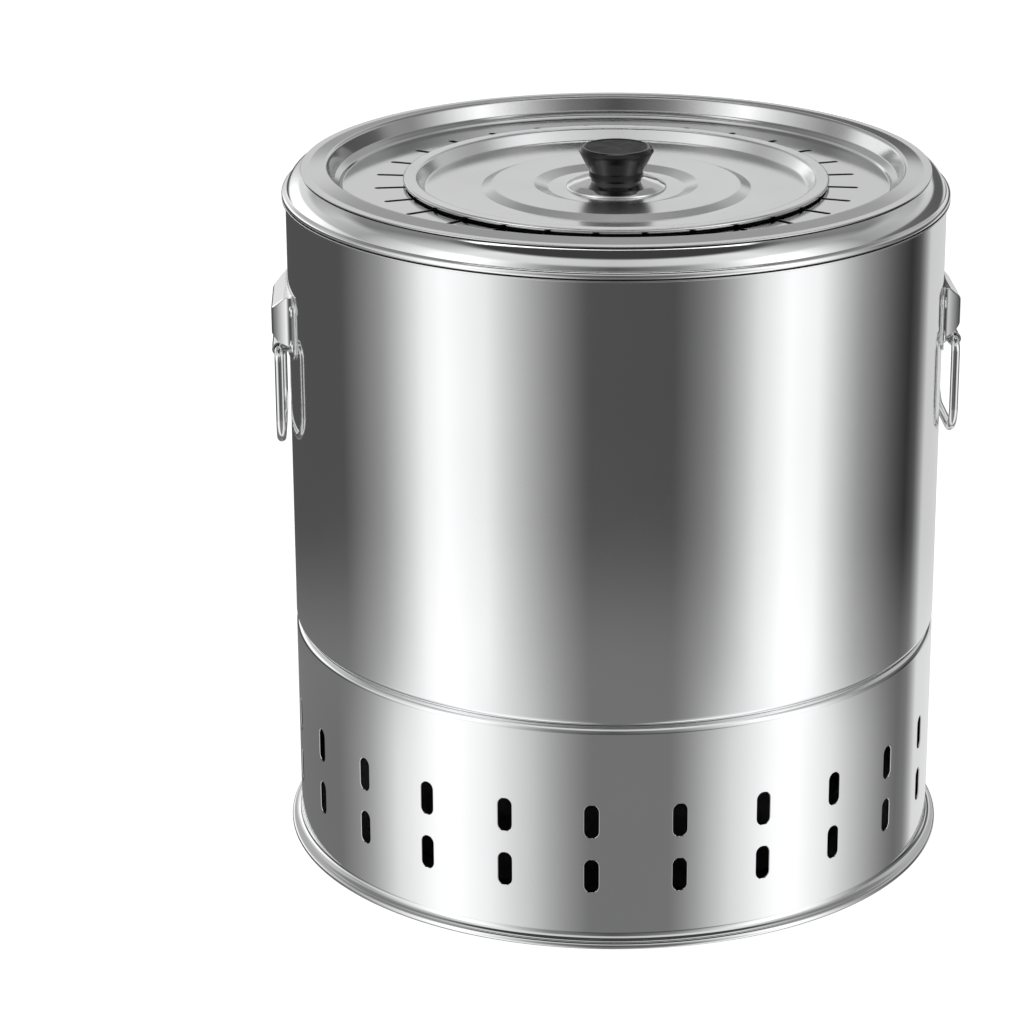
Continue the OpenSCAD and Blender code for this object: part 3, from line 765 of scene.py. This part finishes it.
def bracket_face(y, z, inset):
    """Distance of the bracket's pressed face from the bucket's axis plane, at a place across and up the wall.

    Inset is how far behind the outer face of the sheet the face lies.
    """
    plate = math.sqrt((PLATE_IN + BRACKET_T - inset) ** 2 - y ** 2)
    brow, toe = HOOD_OUT - HOOD_BEVEL, HOOD_OUT - HOOD_TOE
    slant = inset * math.sqrt(2)
    above, below = HOOD_HIGH - z, z - HOOD_LOW
    end = WIRE_IN + HOOD_HALF - abs(y)
    half = (HOOD_OUT - PLATE_IN - BRACKET_T) / 2
    along = max(-HOOD_CROWN_REACH, min(HOOD_CROWN_REACH, (HOOD_OUT - half - end) / half))
    end += HOOD_CROWN * (1 - along ** 2)
    hood = soft_least(
        [HOOD_OUT - inset, brow + above - slant, toe + below - slant, end - slant,
         brow + STEEP * (above - inset), toe + STEEP * (below - inset)], HOOD_BLEND
    )
    web = soft_least(
        [PIVOT_R, PIVOT_R + STEEP * (z - PIVOT_Z), PIVOT_R + STEEP * (WEB_TOP - z),
         PIVOT_R + STEEP * (KNUCKLE_HALF - abs(y))], WEB_BLEND
    ) - inset
    return -soft_least([-plate, -hood, -web], PLATE_BLEND)


def bracket_point(y, z, inset, way):
    """Point of the bracket's face with its normal, on the side of the bucket that way tells."""
    ahead, behind = bracket_face(y + SLOPE_STEP, z, inset), bracket_face(y - SLOPE_STEP, z, inset)
    over, under = bracket_face(y, z + SLOPE_STEP, inset), bracket_face(y, z - SLOPE_STEP, inset)
    across, upward = (ahead - behind) / (2 * SLOPE_STEP), (over - under) / (2 * SLOPE_STEP)
    normal = Vector((1, -across, -upward)).normalized() * (-1 if inset else 1)
    normal.x *= way
    return (way * bracket_face(y, z, inset), y, z), normal


def bracket_mesh(name, way):
    """Pressed bracket on the wall: a curved plate with a hollow hood and a knuckle below it, way 1 for +X."""
    across = [-1 + 2 * i / BRACKET_COLUMNS for i in range(BRACKET_COLUMNS + 1)]
    rows = {i / BRACKET_ROWS for i in range(BRACKET_ROWS + 1)}
    for fold in (PIVOT_Z, HOOD_LOW, HOOD_HIGH):
        for k in range(-FOLD_ROWS, FOLD_ROWS + 1):
            rows.add((fold + k * FOLD_STEP - BRACKET_LOW) / BRACKET_H)
    up = sorted(rows)
    form = Form()
    layers = []
    for inset in (0.0, BRACKET_T):
        grid = []
        for a in across:
            y = a * BRACKET_HALF
            past = max(0.0, abs(y) - BRACKET_HALF + BRACKET_CORNER)
            cut = BRACKET_CORNER - math.sqrt(BRACKET_CORNER ** 2 - past ** 2)
            heights = [BRACKET_LOW + cut + u * (BRACKET_H - 2 * cut) for u in up]
            grid.append([form.vertex(*bracket_point(y, z, inset, way)) for z in heights])
        layers.append(grid)
    for grid in layers:
        for a, b in zip(grid, grid[1:]):
            for j in range(len(up) - 1):
                form.face(a[j], a[j + 1], b[j + 1], b[j])
    front, back = layers
    rim = [[g[0] for g in front], [g[-1] for g in front], front[0], front[-1]]
    inner = [[g[0] for g in back], [g[-1] for g in back], back[0], back[-1]]
    outward = [Vector(v) for v in ((0, 0, -1), (0, 0, 1), (0, -1, 0), (0, 1, 0))]
    for a, b, facing in zip(rim, inner, outward):
        for j in range(len(a) - 1):
            form.face(a[j], a[j + 1], b[j + 1], b[j], facing=facing)
    knuckle = stations([(KNUCKLE_R, -KNUCKLE_HALF), (KNUCKLE_R, KNUCKLE_HALF)])
    (start, head), (stop, tail) = ends_of(knuckle, BRACKET_T)
    outside = [at(knuckle, start), at(knuckle, stop)]
    bore = [(p - n * BRACKET_T, -n) for p, n in outside]
    axle = Matrix.Translation((way * PIVOT_R, 0, PIVOT_Z)) @ Matrix.Rotation(-math.pi / 2, 4, "X")
    revolve(form, outside + tail + bore[::-1] + head[::-1], KNUCKLE_COUNT, axle)
    return form.object(name)


def rivet_mesh(name, way):
    """Four rivets of one bracket: domed head outside, shank, and set tail inside."""
    tail_end = RIVET_IN - RIVET_TAIL_H
    outline = stations(
        [(0.0, tail_end), (RIVET_TAIL_R, tail_end, RIVET_TAIL_BEND), (RIVET_HEAD_R, RIVET_IN, CRISP),
         (RIVET_R, RIVET_IN, CRISP), (RIVET_R, RIVET_OUT, CRISP), (RIVET_HEAD_R, RIVET_OUT, RIVET_HEAD_BEND)]
        + [(r, RIVET_OUT + h) for r, h in RIVET_DOME], sheet=0.0
    )
    form = Form()
    for turn in (-RIVET_TURN, RIVET_TURN):
        for z in RIVET_ROWS:
            place = (
                Matrix.Rotation(math.radians(turn + (0 if way > 0 else 180)), 4, "Z")
                @ Matrix.Translation((0, 0, z)) @ Matrix.Rotation(math.pi / 2, 4, "Y")
            )
            revolve(form, [(p, n) for _, p, n in outline], RIVET_COUNT, place, closed=False)
    return form.object(name)


def bail_line():
    """Middle line of the wire, as (across, up) from the pivot: tip, leg, grip bar, leg and tip."""
    half = [(TIP_IN, 0.0)]
    for k in range(BAIL_BEND_STEPS + 1):
        a = math.pi / 2 * (1 - k / BAIL_BEND_STEPS)
        half.append((BAIL_HALF - BAIL_BEND + BAIL_BEND * math.cos(a), -BAIL_BEND + BAIL_BEND * math.sin(a)))
    for k in range(BAIL_LOW_STEPS + 1):
        a = -math.pi / 2 * k / BAIL_LOW_STEPS
        y = BAIL_HALF - BAIL_LOW_BEND + BAIL_LOW_BEND * math.cos(a)
        half.append((y, -BAIL_DROP + BAIL_LOW_BEND + BAIL_LOW_BEND * math.sin(a)))
    return [Vector(p) for p in half + [(-y, z) for y, z in half[::-1]]]


def bail_mesh(name, way):
    """Bent wire handle: two tips in the knuckle, two legs and a grip bar."""
    line = bail_line()
    form = Form()
    hoops = []
    for i, p in enumerate(line):
        ahead = line[min(i + 1, len(line) - 1)] - p
        behind = p - line[max(i - 1, 0)]
        d = (ahead.normalized() + behind.normalized()).normalized()
        sections = [(0.0, WIRE_R, 0.0)]
        if i == 0:
            sections = [(0.0, WIRE_R - TIP_ROUND, -1.0), (TIP_ROUND, WIRE_R, 0.0)]
        if i == len(line) - 1:
            sections = [(-TIP_ROUND, WIRE_R, 0.0), (0.0, WIRE_R - TIP_ROUND, 1.0)]
        for shift, radius, slant in sections:
            hoop = []
            for k in range(BAIL_COUNT):
                a = 2 * math.pi * k / BAIL_COUNT
                out = Vector((way * math.sin(a), -d.y * math.cos(a), d.x * math.cos(a)))
                centre = Vector((way * PIVOT_R, p.x + d.x * shift, PIVOT_Z + p.y + d.y * shift))
                normal = (out + Vector((0, d.x, d.y)) * slant).normalized()
                hoop.append(form.vertex(centre + out * radius, normal))
            hoops.append(hoop)
    for a, b in zip(hoops, hoops[1:]):
        for k in range(BAIL_COUNT):
            q = (k + 1) % BAIL_COUNT
            form.face(a[k], a[q], b[q], b[k])
    form.face(*hoops[0])
    form.face(*hoops[-1])
    return form.object(name)


for side, way in (("left", -1), ("right", 1)):
    dress(bracket_mesh(f"{side}_bracket_fine", way), WIRE, "barrel", "polished_steel", f"{side}_bracket")
    dress(rivet_mesh(f"{side}_rivets_fine", way), WIRE, "barrel", "polished_steel", f"{side}_rivets")
    dress(bail_mesh(f"{side}_bail_fine", way), WIRE, f"{side}_bail", "polished_steel", f"{side}_bail")


# Solids that show as they are

SHOWN = {
    "air_plate": BURNT, "basket_floor": BURNT, "basket_lugs": BURNT, "left_backing": PLAIN,
    "right_backing": PLAIN, "knob_screw": PLAIN, "knob_washer": PLAIN, "knob_insert": BRASS,
}
for name, material in SHOWN.items():
    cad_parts[name].data.materials.clear()
    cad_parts[name].data.materials.append(material)


# Camera, with places in metres

HEADING_DEGREES = 3.8
HEADING = math.radians(HEADING_DEGREES)
PITCH = math.radians(19.69)
ROLL = math.radians(0.235)
EYE_BACK = 2.081
EYE_UP = 0.946
lens = bpy.data.cameras.new("camera")
lens.sensor_width = 36.0
lens.lens = 124.03
lens.shift_x = -0.1004
lens.clip_end = 50.0
camera = bpy.data.objects.new("camera", lens)
bpy.context.scene.collection.objects.link(camera)
ahead = Vector((
    math.sin(HEADING) * math.cos(PITCH), math.cos(HEADING) * math.cos(PITCH), -math.sin(PITCH)
))
right = Vector((math.cos(HEADING), -math.sin(HEADING), 0))
upright = right.cross(ahead)
stand = Matrix((right, upright, -ahead)).transposed().to_4x4()
camera.matrix_world = (
    Matrix.Translation((-EYE_BACK * math.sin(HEADING), -EYE_BACK * math.cos(HEADING), EYE_UP))
    @ stand @ Matrix.Rotation(ROLL, 4, "Z")
)
bpy.context.scene.camera = camera


# Floor and backdrop

STAGE_COUNT = 96
FLOOR_RINGS = (0.0, 400.0, 1200.0, 4000.0, 12000.0)
BELOW_FOOT = -0.05
floor_form = Form()
floor_outline = [(Vector((r, BELOW_FOOT)), Vector((0, 1))) for r in FLOOR_RINGS]
revolve(floor_form, floor_outline, STAGE_COUNT, closed=False)
floor = floor_form.object("floor")
floor_material, tree, bsdf = shader("pale_floor", 0.0)
spot = node(tree, "ShaderNodeTexCoord").outputs["Object"]
cloud = noise(tree, spot, scale=3.0, detail=2.0)
tree.links.new(ramp(tree, cloud, [(NOISE_LOW, 0.84), (NOISE_HIGH, 0.86)]), bsdf.inputs["Base Color"])
bsdf.inputs["Roughness"].default_value = 0.8
bsdf.inputs["Emission Color"].default_value = (1, 1, 1, 1)
bsdf.inputs["Emission Strength"].default_value = 0.72
floor.data.materials.append(floor_material)
floor.visible_glossy = False

# The backdrop is a wall far behind the floor, which only the camera sees
BACKDROP_IN = 5000.0
BACKDROP_R = 7000.0
BACKDROP_BEND = 1500.0
wall_path = stations(
    [(BACKDROP_IN, 0.0), (BACKDROP_R, 0.0, BACKDROP_BEND), (BACKDROP_R, BACKDROP_R)], side=-1, sheet=0.0
)
wall_form = Form()
revolve(wall_form, [(p, n) for _, p, n in wall_path], STAGE_COUNT, closed=False)
wall = wall_form.object("backdrop")
wall.data.materials.append(floor_material)
for rays in ("diffuse", "glossy", "transmission", "volume_scatter", "shadow"):
    setattr(wall, f"visible_{rays}", False)


# Studio light

DISPLAY_GAMMA = 2.2
ROOF = (0.05, 0.05, 0.05, 1)
SOFTBOX = (2.0, 2.0, 2.0, 1)
GROUND_LIFT = 0.11
world = bpy.data.worlds.new("studio")
bpy.context.scene.world = world
world.use_nodes = True
tree = world.node_tree
toward = node(tree, "ShaderNodeTexCoord").outputs["Generated"]
xyz = node(tree, "ShaderNodeSeparateXYZ", {0: toward}).outputs


def calculate(operation, *values):
    return node(tree, "ShaderNodeMath", dict(enumerate(values)), operation=operation).outputs[0]


near = calculate("MULTIPLY", xyz["Y"], -1.0)
azimuth = calculate("ARCTAN2", xyz["X"], near)
turn_share = calculate("MULTIPLY_ADD", azimuth, 1 / (2 * math.pi), 0.5 + HEADING_DEGREES / 360)
turn_share = calculate("FRACT", turn_share)


def panels(stops):
    """Ring of soft light panels: (degrees from the camera's side, brightness as it looks)."""
    seen = ramp(tree, turn_share, [((degrees + 180) / 360, bright) for degrees, bright in stops])
    return node(tree, "ShaderNodeGamma", {"Color": seen, "Gamma": DISPLAY_GAMMA}).outputs[0]


def between(low, high, least=0.0, most=1.0, source=xyz["Z"]):
    """Goes smoothly from least to most as a source goes from low to high.

    The source is the sine of the elevation if none is named.
    """
    return spread(tree, source, low, high, least, most, "SMOOTHSTEP")


def blend(share, a, b, how="MIX"):
    return node(tree, "ShaderNodeMix", {0: share, 6: a, 7: b}, data_type="RGBA", blend_type=how).outputs[2]


base_ring = panels([
    (-180, 0.58), (-167, 0.31), (-118, 0.29), (-99, 0.55), (-84, 0.86), (-69, 1.0), (-61, 1.06),
    (-45, 0.95), (-30, 0.76), (-8, 0.32), (20, 0.32), (34, 0.67), (42, 0.83), (57, 1.0), (66, 1.06),
    (84, 0.90), (106, 0.56), (124, 0.25), (131, 0.34), (141, 0.83), (167, 0.84), (180, 0.58),
])
wall_ring = panels([
    (-180, 0.58), (-167, 0.32), (-110, 0.33), (-88, 0.61), (-69, 1.0), (-61, 1.07), (-45, 0.98),
    (-30, 0.71), (-9, 0.33), (20, 0.32), (34, 0.54), (50, 0.92), (62, 1.07), (74, 1.02), (94, 0.62),
    (114, 0.34), (124, 0.22), (131, 0.34), (141, 0.83), (167, 0.84), (180, 0.58),
])
horizon_ring = panels([
    (-180, 0.55), (-165, 0.80), (-152, 1.1), (-122, 1.1), (-100, 0.80), (-72, 1.0), (-57, 1.2), (-42, 1.0),
    (-22, 0.50), (0, 0.34), (22, 0.50), (45, 1.0), (60, 1.2), (75, 1.0), (100, 0.45), (150, 0.36),
    (172, 0.38), (180, 0.55),
])
high_ring = panels([
    (-180, 0.92), (-130, 0.86), (-100, 0.66), (-72, 1.0), (-57, 1.25), (-42, 1.0), (-22, 0.55), (0, 0.36),
    (22, 0.55), (45, 1.0), (60, 1.25), (75, 1.0), (95, 0.62), (125, 0.76), (180, 0.92),
])
slope_ring = panels([
    (-180, 0.70), (-150, 0.70), (-125, 0.80), (-100, 0.66), (-72, 1.0), (-57, 1.25), (-42, 1.0),
    (-22, 0.55), (0, 0.36), (22, 0.55), (45, 1.0), (60, 1.25), (75, 1.0), (95, 0.62), (125, 0.74),
    (150, 0.70), (180, 0.70),
])
upper_ring = panels([
    (-180, 0.58), (-120, 0.50), (-60, 0.95), (0, 0.80), (60, 0.95), (120, 0.50), (180, 0.58),
])

# Each ring of panels, and at last the roof, takes over from the one below it between two sines of elevation
light = base_ring
for panel_ring, low, high in (
    (wall_ring, -0.398, -0.372), (horizon_ring, -0.12, -0.05), (high_ring, 0.165, 0.22),
    (slope_ring, 0.29, 0.38), (upper_ring, 0.52, 0.64), (ROOF, 0.84, 0.92),
):
    light = blend(between(low, high), light, panel_ring)

# A softbox hangs under the dark roof, behind the middle
lean = calculate("DIVIDE", xyz["Y"], xyz["Z"])
aside = calculate("ABSOLUTE", calculate("DIVIDE", xyz["X"], xyz["Z"]))
softbox = between(0.28, 0.33, source=lean)
for limit in (between(0.50, 0.44, source=lean), between(0.40, 0.32, source=aside), between(0.80, 0.86)):
    softbox = calculate("MULTIPLY", softbox, limit)
light = blend(softbox, light, SOFTBOX)

# The table throws some light back up at the wall from close by
light = blend(1.0, light, between(-0.336, -0.380, 0.0, GROUND_LIFT), "ADD")
tree.links.new(light, tree.nodes["Background"].inputs["Color"])

bpy.context.scene.view_settings.view_transform = "Standard"
